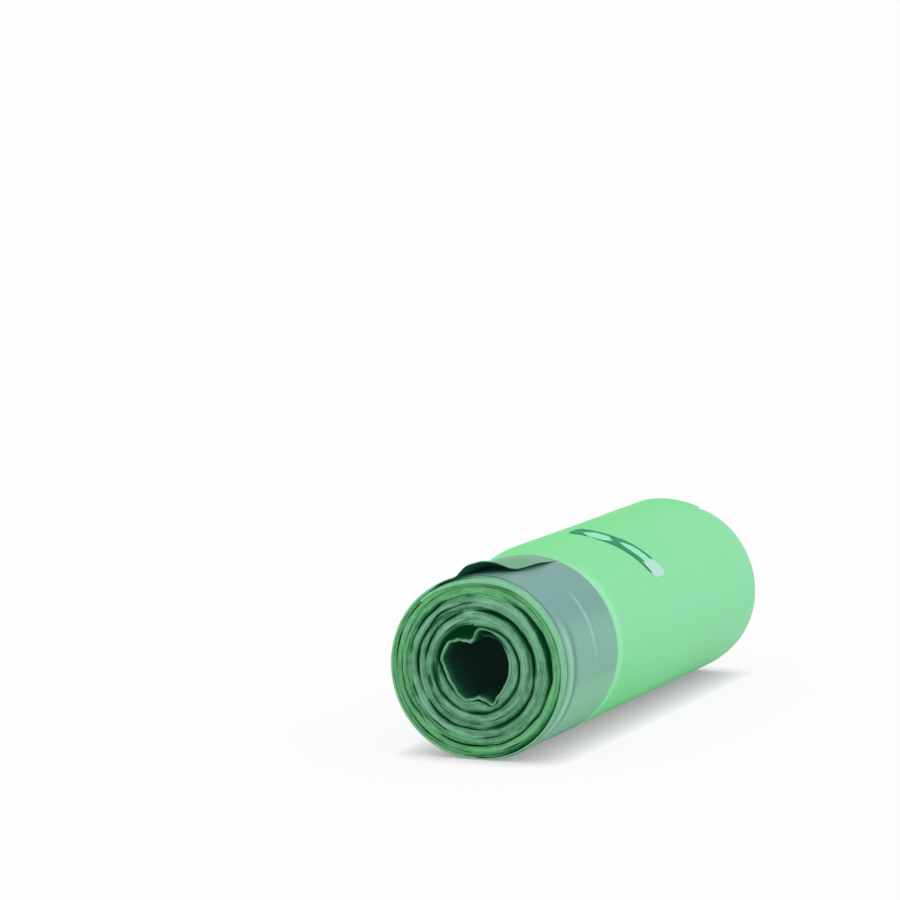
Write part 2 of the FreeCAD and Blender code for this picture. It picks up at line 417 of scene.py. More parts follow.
@dataclass(frozen=True)
class FilmFinish:
    """Thin green polythene: pale and milky where it lies flat, deep green in its folded ends and gaps, with
    painted light and shade on the folded ends and painted shade and a painted glow in the gaps and the core.
    """

    mint: Colour = Colour(140, 226, 168)
    leaf: Colour = Colour(106, 226, 134)
    # The folded ends come in a shaded and a lit copy of each colour: painted shade and painted highlights.
    shaded_end_leaf: Colour = Colour(36, 112, 64)
    shaded_end_grey: Colour = Colour(34, 96, 64)
    lit_end_leaf: Colour = Colour(114, 198, 130)
    lit_end_grey: Colour = Colour(134, 194, 160)
    pale: Colour = Colour(158, 240, 186)
    # Painted shade deep in the gaps and inside the core, each with a painted green glow.
    gap: Colour = Colour(20, 88, 54)
    gap_glow: Colour = Colour(4, 42, 25)
    core: Colour = Colour(20, 56, 44)
    core_glow: Colour = Colour(6, 20, 15)
    roughness: float = 0.45
    roughness_sway: float = 0.12
    specular: float = 0.1

    # Streaks along the plies on the folded ends, finer across the plies than along them.
    line_stretch: tuple[float, float, float] = (0.07, 2.6, 1.0)
    fleck_stretch: tuple[float, float, float] = (0.2, 1.5, 1.0)
    blotch_scale: float = 210.0
    line_share: float = 0.3
    fleck_share: float = 0.35
    blotch_share: float = 0.35
    streak_contrast: float = 1.8

    # Soft clouds of tint, creases and grain on the flat film.
    cloud_scale: float = 40.0
    cloud_contrast: float = 0.5
    crease_scale: float = 160.0
    grain_scale: float = 1400.0
    grain_share: float = 0.2
    relief: float = 0.35
    relief_strength: float = 0.4

    def material(self) -> bpy.types.Material:
        """Build the material.

        Returns:
            The film material, which reads the marks tint, end, fold_light, pale, gap, core, arc and ply;
            fold_light, gap and core carry painted light and shade.
        """
        shader = Shader(bpy.data.materials.new("bag_film"))
        tint = shader.mark("tint")
        end = shader.mark("end")
        along_plies = {"X": shader.mark("arc"), "Y": shader.mark("ply")}
        plies = shader.node("ShaderNodeCombineXYZ", sockets=along_plies)
        lines = shader.noise(shader.stretched(plies, self.line_stretch), 1.0)
        flecks = shader.noise(shader.stretched(plies, self.fleck_stretch), 1.0)
        blotches = shader.noise(shader.place((1.0, 0.2, 1.0)), self.blotch_scale, 3.0)
        cloud = shader.noise(shader.place((1.0, 0.35, 1.0)), self.cloud_scale)
        tinted = (tint + (cloud - 0.5) * self.cloud_contrast).between(0.0, 1.0)
        body = shader.mix(shader.mark("pale"), shader.mix(tinted, self.mint, self.leaf), self.pale)
        streaks = lines * self.line_share + flecks * self.fleck_share + blotches * self.blotch_share
        # Painted light and shade on the folded ends, with uneven streaks of tone.
        lit = (shader.mark("fold_light") + (streaks - 0.5) * self.streak_contrast).between(-0.1, 1.1)
        shaded = shader.mix(tint, self.shaded_end_grey, self.shaded_end_leaf)
        lit_ends = shader.mix(tint, self.lit_end_grey, self.lit_end_leaf)
        film = shader.mix(end, body, shader.mix(lit, shaded, lit_ends))
        # Painted shade deeper in the gaps, and a painted glow there.
        hidden = shader.mix(shader.mark("gap"), film, self.gap)
        gap_painted_glow = shader.mix(shader.mark("gap"), BLACK, self.gap_glow)
        creases = shader.noise(shader.place((1.0, 0.2, 1.0)), self.crease_scale, 3.0)
        grain = shader.noise(shader.place(), self.grain_scale, 1.0)
        flat_height = creases * (1.0 - self.grain_share) + grain * self.grain_share
        height = flat_height * (1.0 - end) + (lines + flecks) * end
        return shader.finish(
            {
                "Base Color": shader.mix(shader.mark("core"), hidden, self.core),
                "Roughness": self.roughness + (creases - 0.5) * self.roughness_sway,
                "Specular IOR Level": self.specular,
                # The painted glow in the gaps and the core, which is no lamp.
                "Emission Color": shader.mix(shader.mark("core"), gap_painted_glow, self.core_glow),
                "Emission Strength": 1.0,
                "Normal": shader.bump(height, self.relief, self.relief_strength),
            }
        )


@dataclass(frozen=True)
class TapeFinish:
    """Grey-green drawtape seen through the hem, with the film's sheen over it."""

    tape: Colour = Colour(114, 161, 154)
    # Lighter low on the roll and beside the rim: painted light.
    low: Colour = Colour(132, 196, 164)
    lap: Colour = Colour(98, 166, 126)
    film: Colour = Colour(144, 228, 170)
    # A lighter crease line, which is also a painted highlight on the ridge by the rim; and painted shade in
    # the furrow by the rim.
    crease: Colour = Colour(168, 214, 200)
    furrow: Colour = Colour(82, 132, 118)
    roughness: float = 0.45
    roughness_sway: float = 0.1
    specular: float = 0.2
    streak_scale: float = 60.0
    streak_contrast: float = 0.3
    grain_scale: float = 260.0
    relief: float = 0.2
    relief_strength: float = 0.3

    def material(self) -> bpy.types.Material:
        """Build the material.

        Returns:
            The tape material, which reads the marks low, lap, border, crease and furrow; low is painted
            light, crease a lighter line round the middle and a painted highlight by the rim, and furrow
            painted shade.
        """
        shader = Shader(bpy.data.materials.new("drawtape_in_hem"))
        streaks = shader.noise(shader.place((1.0, 6.0, 1.0)), self.streak_scale)
        low = (shader.mark("low") + (streaks - 0.5) * self.streak_contrast).between(0.0, 1.0)
        base = shader.mix(shader.mark("lap"), shader.mix(low, self.tape, self.low), self.lap)
        creased = shader.mix(shader.mark("crease"), base, self.crease)
        furrowed = shader.mix(shader.mark("furrow"), creased, self.furrow)
        grain = shader.noise(shader.place((1.0, 0.3, 1.0)), self.grain_scale, 3.0)
        return shader.finish(
            {
                "Base Color": shader.mix(shader.mark("border"), furrowed, self.film),
                "Roughness": self.roughness + (grain - 0.5) * self.roughness_sway,
                "Specular IOR Level": self.specular,
                "Normal": shader.bump(grain, self.relief, self.relief_strength),
            }
        )


@dataclass(frozen=True)
class LabelFinish:
    """Closing label with plain pale and green fields.

    Places along the label are shares of its length from its end on the lap, and places across it run from
    -1 at the hem side to 1.
    """

    dark: Colour = Colour(56, 148, 102)
    pale: Colour = Colour(150, 236, 200)
    clear: Colour = Colour(190, 230, 218)
    roughness: float = 0.6
    specular: float = 0.05
    wrinkle_scale: float = 300.0
    relief: float = 0.15
    relief_strength: float = 0.25

    # The ragged edges of the fields.
    rag_scale: float = 420.0
    rag: float = 0.5

    # The first pale field, which is widest at its place and ends at its reach to either side.
    first_place: float = 0.27
    first_reach: float = 0.17
    first_slope: float = 8.0
    first_side: float = -0.25

    # The second pale field, which widens from its start, and the clear tail.
    second_start: float = 0.46
    second_slope: float = 3.6
    second_side: float = 0.08
    tail_start: float = 0.78

    def first_field(self, along: Wire, side: Wire, ragged: Wire) -> Wire:
        """Return the share of the first pale field.

        Args:
            along: Place along the label.
            side: Place across it.
            ragged: Noise for the edges.

        Returns:
            The share, from 0 to 1.
        """
        off = abs(side - self.first_side) + ragged * 0.6
        width = (self.first_reach - abs(along - self.first_place)) * self.first_slope
        return (width + ragged - off).between(0.0, 0.25) * off.between(0.76, 0.58)

    def second_field(self, along: Wire, side: Wire, ragged: Wire) -> Wire:
        """Return the share of the second pale field.

        Args:
            along: Place along the label.
            side: Place across it.
            ragged: Noise for the edges.

        Returns:
            The share, from 0 to 1.
        """
        off = abs(side - self.second_side) + ragged * 0.4
        width = (along - self.second_start) * self.second_slope + 0.08
        started = along.between(self.second_start, self.second_start + 0.04)
        return (width - off).between(0.0, 0.12) * off.between(0.52, 0.38) * started

    def material(self) -> bpy.types.Material:
        """Build the material.

        Returns:
            The label material, which reads the marks along and across.
        """
        shader = Shader(bpy.data.materials.new("closing_label_print"))
        along = shader.mark("along")
        side = shader.mark("across")
        ragged = (shader.noise(shader.place(), self.rag_scale) - 0.5) * self.rag
        fields = self.first_field(along, side, ragged) + self.second_field(along, side, ragged)
        printed = shader.mix(fields.between(0.0, 1.0), self.dark, self.pale)
        tail = (along + ragged * 0.05).between(self.tail_start, self.tail_start + 0.05)
        tail_edge = side.between(-0.66, -0.8) * along.between(0.97, 0.9)
        wrinkle = shader.noise(shader.place(), self.wrinkle_scale)
        return shader.finish(
            {
                "Base Color": shader.mix(tail, printed, shader.mix(tail_edge, self.clear, self.dark)),
                "Roughness": self.roughness,
                "Specular IOR Level": self.specular,
                "Normal": shader.bump(wrinkle, self.relief, self.relief_strength),
            }
        )


# The outer form of the roll


@dataclass(frozen=True)
class Ridge:
    """A soft ridge that runs round the roll at a depth, or a furrow where its height is below 0."""

    depth: float
    breadth: float
    height: float

    def height_at(self, depth: float) -> float:
        """Height of the ridge at a depth."""
        return self.height * bump_at(depth, self.depth, self.breadth)


@dataclass(frozen=True)
class RollForm:
    """The outer form of the roll: a soft cylinder with a flat spot, under a loose lap."""

    length: float
    radius: float

    # The flat spot, which only what lies low and close to the floor takes part in.
    flat_depth: float = 0.7
    flat_softness: float = 0.35
    flat_lowness: float = 0.5
    flat_reach: float = 8.0

    # The lap, from its root to its free edge, with the angle over which it thins out.
    lap_root: float = -43.0
    lap_edge: float = 17.0
    lap_step: float = 0.9
    lap_film: float = 0.5
    lap_flat_film: float = 0.06
    lap_thinning: float = 34.0
    lap_root_lift: float = 0.12
    lap_root_reach: float = 40.0
    lap_settling: float = 3.0
    lap_tuck: float = 0.1
    lap_tuck_share: float = 0.2
    lap_tuck_reach: float = 5.0

    # The lap's loose corner, peeled back at the hem end and lifted in waves: place, spread and height.
    lap_loose_length: float = 60.0
    lap_peel: float = 22.0
    lap_peel_fade: float = 4.0
    lap_lift: float = 4.7
    lap_lift_waves: tuple[tuple[float, float, float], ...] = ((0.08, 0.17, 1.0), (0.60, 0.25, 0.5))
    lap_lift_hold: int = 8

    # The share of the lap's width where the lift starts and the one it takes, at the hem and past the curl.
    lap_curl_depth: float = 22.0
    lap_hinge: tuple[float, float] = (0.7, 0.4)
    lap_rise: tuple[float, float] = (0.3, 0.4)
    lap_droop: float = 0.27
    lap_droop_share: float = 0.28

    # The loose film round the lap's root, beside the tape.
    lap_bulge: float = 3.2
    lap_bulge_place: float = -28.0
    lap_bulge_half_width: float = 45.0
    lap_bulge_start: float = 45.0
    lap_bulge_rise: float = 35.0

    # The winding, by turns from its inner end, with the slack that the roll's weight opens low down.
    tight_turn: float = 2.0
    tight_radius: float = 17.1
    thinning_turn: float = 5.9
    tail_turn: float = 7.89
    last_pitch: float = 1.0
    turn_clearance: float = 0.04
    low_slack: float = 0.8
    low_slack_clock: float = 142.0
    low_slack_spread: float = 40.0

    # The gentle unevenness of the skin, in broad waves and finer ones.
    sag: float = 0.12
    sag_rate: float = 1.3
    sag_length: float = 45.0
    fine_share: float = 0.35
    fine_rate: float = 3.0
    fine_length: float = 16.0
    fine_seed: float = 7.0

    # The folds beside the rim.
    rim_fold_clock: float = 105.0
    rim_fold_spread: float = 45.0
    rim_ridges: tuple[Ridge, ...] = (Ridge(6.0, 2.0, 0.3), Ridge(16.0, 1.6, 0.2), Ridge(11.5, 1.6, -0.35))

    @property
    def axis_height(self) -> float:
        """Height of the roll's axis over the floor."""
        return self.radius - self.flat_depth

    @property
    def tail(self) -> float:
        """Angle where the outermost turn starts, one turn under the lap's root."""
        return self.lap_root - FULL_TURN

    @property
    def thinning(self) -> float:
        """Count of turns over which the web thins out toward its end."""
        return self.tail_turn + 0.5 - self.thinning_turn

    @property
    def pitch(self) -> float:
        """Distance from one turn to the next, before the web thins out."""
        reach = self.bed(self.lap_root) - self.tight_radius - 0.5 * self.last_pitch * self.thinning
        return reach / (self.thinning_turn - self.tight_turn + 0.5 * self.thinning)

    def wound_radius(self, turn: float) -> float:
        """Radius of the tight web, by turns from its inner end.

        Args:
            turn: Turns from the inner end of the web.

        Returns:
            The radius in millimetres.
        """
        late = max(turn - self.thinning_turn, 0.0)
        lost = (self.pitch - self.last_pitch) * late * late / (2.0 * self.thinning)
        return self.tight_radius + self.pitch * (turn - self.tight_turn) - lost

    def turn_at(self, r: float) -> float:
        """Count of turns where the tight web has a radius, before it thins out."""
        return self.tight_turn + (r - self.tight_radius) / self.pitch

    def place(self, angle: float, r: float, y: float) -> Vector:
        """Turn a clock angle, a radius and a place along the roll into a point."""
        turn = math.radians(angle)
        return Vector((r * math.sin(turn), y, self.axis_height + r * math.cos(turn)))

    def above_floor(self, angle: float, r: float) -> float:
        """Limit a radius so that the roll rests on a soft flat spot.

        Args:
            angle: The clock angle.
            r: The radius of the roll there without the floor.

        Returns:
            The radius, eased into the plane of the floor.
        """
        down = -math.cos(math.radians(angle))
        if down <= self.flat_lowness:
            return r
        floor_r = self.axis_height / down
        clearance = (floor_r - r) / self.flat_softness
        if clearance > self.flat_reach:
            return r
        return floor_r - self.flat_softness * math.log1p(math.exp(clearance))

    def bed(self, angle: float) -> float:
        """Radius of the turn that the lap lies on."""
        share = (angle - self.lap_root) / (self.lap_edge - self.lap_root)
        return self.radius - self.lap_step * (1.0 - smooth(share))

    def loose_share(self, depth: float) -> float:
        """Place along the loose corner, 0 at the hem end and 1 where the lap lies flat."""
        return min(max(depth, 0.0) / self.lap_loose_length, 1.0)

    def lap_edge_at(self, depth: float) -> float:
        """Clock angle of the lap's free edge at a depth."""
        share = self.loose_share(depth)
        return self.lap_edge - self.lap_peel * math.exp(-self.lap_peel_fade * share) * (1.0 - share)

    def lap_lift_at(self, depth: float) -> float:
        """How far the lap's free edge stands off at a depth.

        Args:
            depth: Distance from the hem end.

        Returns:
            The lift in millimetres.
        """
        share = self.loose_share(depth)
        waves = sum(height * bump_at(share, place, spread) for place, spread, height in self.lap_lift_waves)
        return self.lap_lift * waves * (1.0 - share**self.lap_lift_hold)

    def lap_bulge_at(self, angle: float, depth: float) -> float:
        """How far the loose film stands off round the lap's root, beside the tape.

        Args:
            angle: The clock angle.
            depth: Distance from the hem end.

        Returns:
            The stand-off in millimetres.
        """
        off = (angle - self.lap_bulge_place) / self.lap_bulge_half_width
        if abs(off) >= 1.0:
            return 0.0
        started = smooth((depth - self.lap_bulge_start) / self.lap_bulge_rise)
        return self.lap_bulge * math.cos(math.pi / 2.0 * off) ** 2 * started

    def lap_angle(self, turn_angle: float, depth: float) -> float:
        """Shorten the lap's own part of the outer turn to its free edge.

        Args:
            turn_angle: Angle along the outer turn, from its tail to the lap's edge.
            depth: Distance from the hem end.

        Returns:
            The clock angle, which isn't wrapped.
        """
        if turn_angle <= self.lap_root:
            return turn_angle
        share = (turn_angle - self.lap_root) / (self.lap_edge - self.lap_root)
        return self.lap_root + share * (self.lap_edge_at(depth) - self.lap_root)

    def unevenness(self, angle: float, depth: float) -> float:
        """Return how far the wound film stands out of or sinks into an even skin.

        Args:
            angle: The clock angle.
            depth: Distance from the hem end.

        Returns:
            The distance in millimetres, positive outward.
        """
        turn = math.radians(angle)
        x, z = self.sag_rate * math.sin(turn), self.sag_rate * math.cos(turn)
        broad = rough(x, z, depth / self.sag_length)
        fine = rough(self.fine_rate * x, self.fine_rate * z, depth / self.fine_length + self.fine_seed)
        return self.sag * (broad + self.fine_share * fine - 1.0)

    def rim_folds(self, angle: float, depth: float) -> float:
        """Return the soft ridges that run round the roll behind the hem's rim."""
        ridges = sum(ridge.height_at(depth) for ridge in self.rim_ridges)
        return bump_at(wrapped(angle), self.rim_fold_clock, self.rim_fold_spread) * ridges

    def skin(self, turn_angle: float, depth: float) -> float:
        """Radius of the outer turn's outer face.

        Args:
            turn_angle: Angle along the turn, from its tail one turn under the lap to the lap's edge.
            depth: Distance from the hem end.

        Returns:
            The radius in millimetres.
        """
        uneven = self.unevenness(turn_angle, depth)
        if turn_angle < self.lap_edge - FULL_TURN:
            return self.bed(turn_angle + FULL_TURN) + uneven
        if turn_angle > self.lap_root:
            return self.lap_under(turn_angle, depth) + self.lap_thickness(turn_angle, depth)
        near_root = smooth((turn_angle - self.lap_root + self.lap_root_reach) / self.lap_root_reach)
        r = self.radius + uneven + self.rim_folds(turn_angle, depth)
        r += self.lap_root_lift * near_root + self.lap_bulge_at(turn_angle, depth)
        return self.above_floor(turn_angle, r)

    def lap_under(self, angle: float, depth: float) -> float:
        """Radius of the lap's underside.

        Args:
            angle: The clock angle on the lap.
            depth: Distance from the hem end.

        Returns:
            The radius in millimetres.
        """
        across = (angle - self.lap_root) / (self.lap_edge_at(depth) - self.lap_root)
        root = self.radius + self.lap_root_lift - self.lap_thickness(self.lap_root, depth)
        resting = self.bed(angle) + self.unevenness(angle - FULL_TURN, depth)
        close = max(blend(root, resting, smooth(across * self.lap_settling)), resting)
        flat = smooth((depth - self.lap_loose_length) / self.lap_tuck_reach)
        tucked = self.lap_tuck * flat * smooth((across - 1.0) / self.lap_tuck_share + 1.0)
        curl = smooth(depth / self.lap_curl_depth)
        rise = smooth((across - blend(*self.lap_hinge, curl)) / blend(*self.lap_rise, curl))
        droop = self.lap_droop * curl * smooth((across - 1.0) / self.lap_droop_share + 1.0)
        lift = self.lap_lift_at(depth) * rise * (1.0 - droop)
        return close + lift + self.lap_bulge_at(angle, depth) - tucked

    def lap_thickness(self, angle: float, depth: float) -> float:
        """Thickness of the lap, which thins out to a single film where it lies flat.

        Args:
            angle: The clock angle on the lap.
            depth: Distance from the hem end.

        Returns:
            The thickness in millimetres.
        """
        root = self.radius + self.lap_root_lift - self.bed(self.lap_root) - self.turn_clearance / 2.0
        edge = blend(self.lap_film, self.lap_flat_film, smooth(depth / self.lap_loose_length))
        return blend(root, edge, smooth((angle - self.lap_root) / self.lap_thinning))

    def turn_thickness(self, turn_angle: float, depth: float) -> float:
        """Thickness of the outer turn, which fills the space down to the turn below.

        Args:
            turn_angle: Angle along the outer turn, from its tail to the lap's edge.
            depth: Distance from the hem end.

        Returns:
            The thickness in millimetres.
        """
        if turn_angle > self.lap_root:
            return self.lap_thickness(turn_angle, depth)
        turn = self.tail_turn + (turn_angle - self.tail) / FULL_TURN
        slack = self.low_slack * bump_at(wrapped(turn_angle), self.low_slack_clock, self.low_slack_spread)
        close = self.skin(turn_angle, depth) - self.lap_bulge_at(turn_angle, depth)
        return close - self.wound_radius(turn - 0.5) - self.turn_clearance - slack


# The turns


@dataclass(frozen=True)
class RingPoint:
    """One point of a turn's flat loop: the end it is near, how far in it lies and the face it is on."""

    end: End
    inset: float
    across: float
    nose: float


def flat_loop(insets: tuple[float, ...], segments: int) -> list[RingPoint]:
    """List the points round a turn, out along its outer face and back along its inner one.

    Args:
        insets: Distances from the nose of each end, rising to the middle of the turn.
        segments: Steps round each nose.

    Returns:
        The points in order, with no point given twice.
    """
    points = []
    for face, first, last in ((1.0, End.HEM, End.FAR), (-1.0, End.FAR, End.HEM)):
        points += [RingPoint(first, inset, face, 0.0) for inset in insets]
        points += [RingPoint(last, inset, face, 0.0) for inset in reversed(insets[:-1])]
        for i in range(segments + 1):
            bend = math.pi * i / segments
            points.append(RingPoint(last, 0.0, face * math.cos(bend), math.sin(bend)))
    return points


@dataclass(frozen=True)
class Slack:
    """A lens-shaped gap between two neighbouring turns."""

    angle: float
    radius: float
    half_width: float
    opening: float


@dataclass(frozen=True)
class Fold:
    """A ridge or a groove that runs along the turns on the end of the roll."""

    angle: float
    radius: float
    half_width: float
    breadth: float
    height: float
    climb: float = 0.0

    def height_at(self, angle: float, r: float) -> float:
        """Height of the fold at a clock angle and a radius, as a share of a full ridge.

        Args:
            angle: The clock angle.
            r: The radius.

        Returns:
            The height, below 0 in a groove.
        """
        off = wrapped(angle - self.angle)
        if abs(off) >= self.half_width:
            return 0.0
        fading = math.sqrt(math.cos(math.pi / 2.0 * off / self.half_width))
        return self.height * fading * bump_at(r, self.radius + self.climb * off, self.breadth)


@dataclass
class InnerTurns:
    """The wound turns under the outermost one, with their folded ends showing at both ends of the roll."""

    form: RollForm
    start_angle: float = -4.0
    step: float = 2.5
    insets: tuple[float, ...] = (0.6, 1.8, 4.5, 12.0, 35.0)
    nose_segments: int = 18
    nose_share: float = 0.34
    nose_base: float = 0.2

    # The film that lines the core, by clock angle and radius, and the inner face of the next turn.
    core_film: float = 1.5
    core_nose: float = 0.9
    core_line: tuple[tuple[float, float], ...] = (
        (-4, 11.4), (20, 11.6), (47, 12.2), (70, 12.9), (95, 12.4), (120, 12.2), (145, 13.0),
        (158, 14.8), (170, 12.2), (180, 11.2), (195, 12.6), (203, 13.4), (218, 13.0), (230, 12.4),
        (255, 12.8), (268, 13.7), (280, 15.2), (305, 15.0), (318, 13.4), (330, 11.4), (340, 10.2),
        (348, 10.9), (355, 13.4), (360, 14.6), (370, 15.0), (395, 14.6),
    )
    next_line: tuple[tuple[float, float], ...] = (
        (356, 14.3), (370, 14.5), (395, 14.0), (412, 13.9), (430, 13.4), (480, 12.7), (500, 13.5),
        (511, 15.2), (521, 15.2), (532, 13.4), (540, 12.6), (556, 13.4), (565, 13.9), (590, 13.6),
        (612, 14.0), (626, 15.0), (640, 17.0), (664, 17.2), (690, 17.0), (712, 16.3), (720, 15.8),
    )
    core_turn: float = 0.99
    core_closing: float = 0.06
    core_fading: float = 0.3

    # The seams between the turns, which sway where the web is loose and open and close along it.
    loose_turn: float = 6.4
    loose_fading: float = 0.9
    seam_grain: Grain = Grain(9.0, 0.7, 1.7)
    seam_sway: tuple[float, float] = (0.05, 0.45)
    seam_clearance: float = 0.012
    seam_opening: float = 0.2
    openness: float = 0.36
    openness_grain: Grain = Grain(17.0, 1.9, 57.0, 1.1)
    parting_turn: float = 5.76
    parting: float = 0.45

    # How far the ends stand out: least at the core, where the inner end of the web hides in the shade.
    end_grain: Grain = Grain(26.0, 0.9, 11.0, 0.8)
    end_sunk: float = 0.6
    core_sunk: float = 1.0
    hidden_sunk: float = 6.0

    # The folds and plies on the ends, and the shares of their painted light and shade: highlights on ridges
    # and the core's lip, shade in grooves.
    relief: float = 0.9
    ply_grain: Grain = Grain(9.0, 1.2, 3.0, 0.42)
    rag_grain: Grain = Grain(3.4, 0.75, 29.0, 0.28)
    fold_light: float = 0.58
    lightness_of_leaf: float = 0.18
    seam_shade: float = -0.75
    relief_light: float = 0.65
    lip_highlight: float = 0.12

    # The tint, which turns leafy in the outer turns.
    leafy_turn: float = 4.8
    leafy_fading: float = 1.2
    tint_base: float = 0.15
    tint_of_leaf: float = 0.7
    tint_grain: Grain = Grain(38.0, 2.1, 41.0, 0.25)

    slack_fade: float = 0.7
    slacks: tuple[Slack, ...] = (
        Slack(68.0, 28.5, 50.0, 1.9),
        Slack(50.0, 22.0, 68.0, 1.2),
        Slack(-60.0, 23.8, 50.0, 0.5),
    )
    folds: tuple[Fold, ...] = (
        Fold(68.0, 28.5, 50.0, 0.7, -0.8, -0.012),
        Fold(45.0, 21.6, 66.0, 0.6, -1.0, -0.025),
        Fold(-85.0, 24.0, 32.0, 0.5, -0.7),
        Fold(-38.0, 23.0, 32.0, 0.6, -0.8, -0.03),
        Fold(-107.0, 19.8, 8.0, 0.6, -1.0),
        Fold(-65.0, 17.0, 56.0, 0.8, -1.1),
        Fold(148.0, 22.6, 26.0, 1.0, -0.8),
        Fold(120.0, 16.4, 64.0, 0.5, -0.7),
        Fold(-110.0, 28.3, 84.0, 0.4, -0.7),
        Fold(-20.0, 30.0, 9.0, 2.0, -0.4),
        Fold(20.0, 33.2, 4.0, 1.2, -1.0),
        Fold(140.0, 32.9, 46.0, 0.6, -1.1),
        Fold(-150.0, 21.0, 40.0, 0.8, -0.4),
        Fold(10.0, 31.4, 20.0, 0.5, -0.4, 0.03),
        Fold(-130.0, 29.9, 55.0, 0.4, 0.8),
        Fold(-142.0, 26.0, 46.0, 0.8, 0.7),
        Fold(-46.0, 25.6, 30.0, 0.8, 0.8, -0.02),
        Fold(35.0, 25.4, 46.0, 1.0, 0.6),
        Fold(50.0, 27.0, 24.0, 0.5, 0.5),
        Fold(-10.0, 21.2, 6.0, 1.4, 0.7),
        Fold(55.0, 18.7, 56.0, 0.9, 0.6),
        Fold(-150.0, 18.0, 40.0, 0.8, 0.5),
        Fold(-38.0, 19.0, 22.0, 0.8, 0.6),
        Fold(150.0, 19.4, 30.0, 0.6, 0.4),
        Fold(140.0, 31.0, 50.0, 0.7, 0.5),
        Fold(60.0, 31.8, 40.0, 0.6, 0.4),
        Fold(-60.0, 31.4, 30.0, 0.7, 0.5),
    )
    ring: list[RingPoint] = field(init=False)
    turns: list[float] = field(init=False)

    def __post_init__(self) -> None:
        """Lay out the steps round and along the web."""
        self.ring = flat_loop((*self.insets, self.form.length / 2.0), self.nose_segments)
        steps = round(self.form.tail_turn * FULL_TURN / self.step)
        self.turns = [self.form.tail_turn * i / steps for i in range(steps + 1)]

    def angle_at(self, turn: float) -> float:
        """Clock angle, not wrapped, at a count of turns from the inner end."""
        return self.start_angle + turn * FULL_TURN

    def arc_at(self, turn: float, angle: float) -> float:
        """Distance along a turn at a clock angle."""
        return self.form.wound_radius(turn) * math.radians(angle)

    def slack_shift(self, turn: float, face: float) -> float:
        """How far the gaps push a face of a turn outward or let it sink inward.

        Args:
            turn: Turns from the inner end, at the middle of the web.
            face: 1 for the outer face and -1 for the inner one.

        Returns:
            The shift in millimetres, positive outward.
        """
        shift = 0.0
        for slack in self.slacks:
            off = wrapped(self.angle_at(turn) - slack.angle)
            if abs(off) >= slack.half_width:
                continue
            first = ((slack.angle - self.start_angle) % FULL_TURN) / FULL_TURN
            gap_turn = first + round(self.form.turn_at(slack.radius) - first - 0.5) + 0.5
            half = slack.opening / 2.0 if turn - off / FULL_TURN > gap_turn else -slack.opening / 2.0
            count = abs(turn + 0.5 * face - off / FULL_TURN - gap_turn)
            lens = math.cos(math.pi / 2.0 * off / slack.half_width) ** 2
            shift += half * lens * math.exp(-count / self.slack_fade)
        return shift

    def seam_at(self, turn: float) -> float:
        """Radius of the seam between the turns half a turn in and half a turn out.

        Args:
            turn: Turns from the inner end of the web.

        Returns:
            The radius in millimetres.
        """
        loose = 1.0 - smooth((turn - self.loose_turn) / self.loose_fading)
        tight_sway, loose_sway = self.seam_sway
        sway = self.seam_grain.at(self.arc_at(turn, self.angle_at(turn - 0.5)), turn)
        return self.form.wound_radius(turn) + sway * (tight_sway + loose_sway * loose)

    def openness_at(self, turn: float) -> float:
        """How open a seam lies at the ends of the roll, from 0 where the turns are pressed together to 1.

        Args:
            turn: Turns from the inner end of the web.

        Returns:
            The openness.
        """
        pairs = self.parting * math.cos(math.pi * (turn - self.parting_turn))
        uneven = self.openness_grain.at(self.arc_at(turn, self.angle_at(turn - 0.5)), turn)
        return smooth(self.openness + uneven + pairs)

    def clearance_at(self, turn: float) -> float:
        """Half of the clearance at a seam."""
        return self.seam_clearance + self.seam_opening * self.openness_at(turn)

    def faces_at(self, turn: float) -> tuple[float, float]:
        """Radii of the inner and the outer face of the web before the gaps open.

        Args:
            turn: Turns from the inner end of the web.

        Returns:
            Both radii in millimetres.
        """
        angle = self.angle_at(turn)
        film = from_table(self.core_line, angle)
        outer = self.seam_at(turn + 0.5) - self.clearance_at(turn + 0.5)
        if turn < self.form.tight_turn:
            inner = from_table(self.next_line, angle)
        else:
            inner = self.seam_at(turn - 0.5) + self.clearance_at(turn - 0.5)
        tight = smooth((turn - self.core_turn) / self.core_closing)
        half = self.core_film / 2.0
        return blend(film - half, inner, tight), blend(film + half, outer, tight)

    def stick_out(self, turn: float, end: End) -> float:
        """How far the fold of the web stands out of the end of the roll.

        Args:
            turn: Turns from the inner end of the web.
            end: The end of the roll.

        Returns:
            The distance in millimetres, below 0 where the fold lies sunk.
        """
        drift = self.end_grain.at(self.arc_at(turn, self.angle_at(turn)), turn, end.value)
        near_core = 1.0 - smooth((turn - 0.5) / 2.0)
        return drift - self.core_sunk * near_core - self.hidden_sunk * self.hidden(turn) - self.end_sunk

    def hidden(self, turn: float) -> float:
        """How deep in the shade of the core the web's inner end lies."""
        return 1.0 - smooth((turn - 0.08) / 0.14)

    def relief_at(self, clock: float, r: float, end: End) -> float:
        """Height of the folds and of the finer plies on the end of the roll, about -1 to 1.

        Args:
            clock: The clock angle.
            r: The radius.
            end: The end of the roll.

        Returns:
            The height as a share of a full ridge.
        """
        seen = clock if end is End.HEM else -clock
        arc = r * math.radians(seen)
        folds = sum(fold.height_at(seen, r) for fold in self.folds)
        return folds + self.ply_grain.at(arc, r, end.value) + self.rag_grain.at(arc, r, end.value)

    def tint(self, turn: float, leafy: float) -> float:
        """How leafy the web looks."""
        patchy = self.tint_grain.at(self.angle_at(turn), turn)
        return min(max(self.tint_base + self.tint_of_leaf * leafy + patchy, 0.0), 1.0)

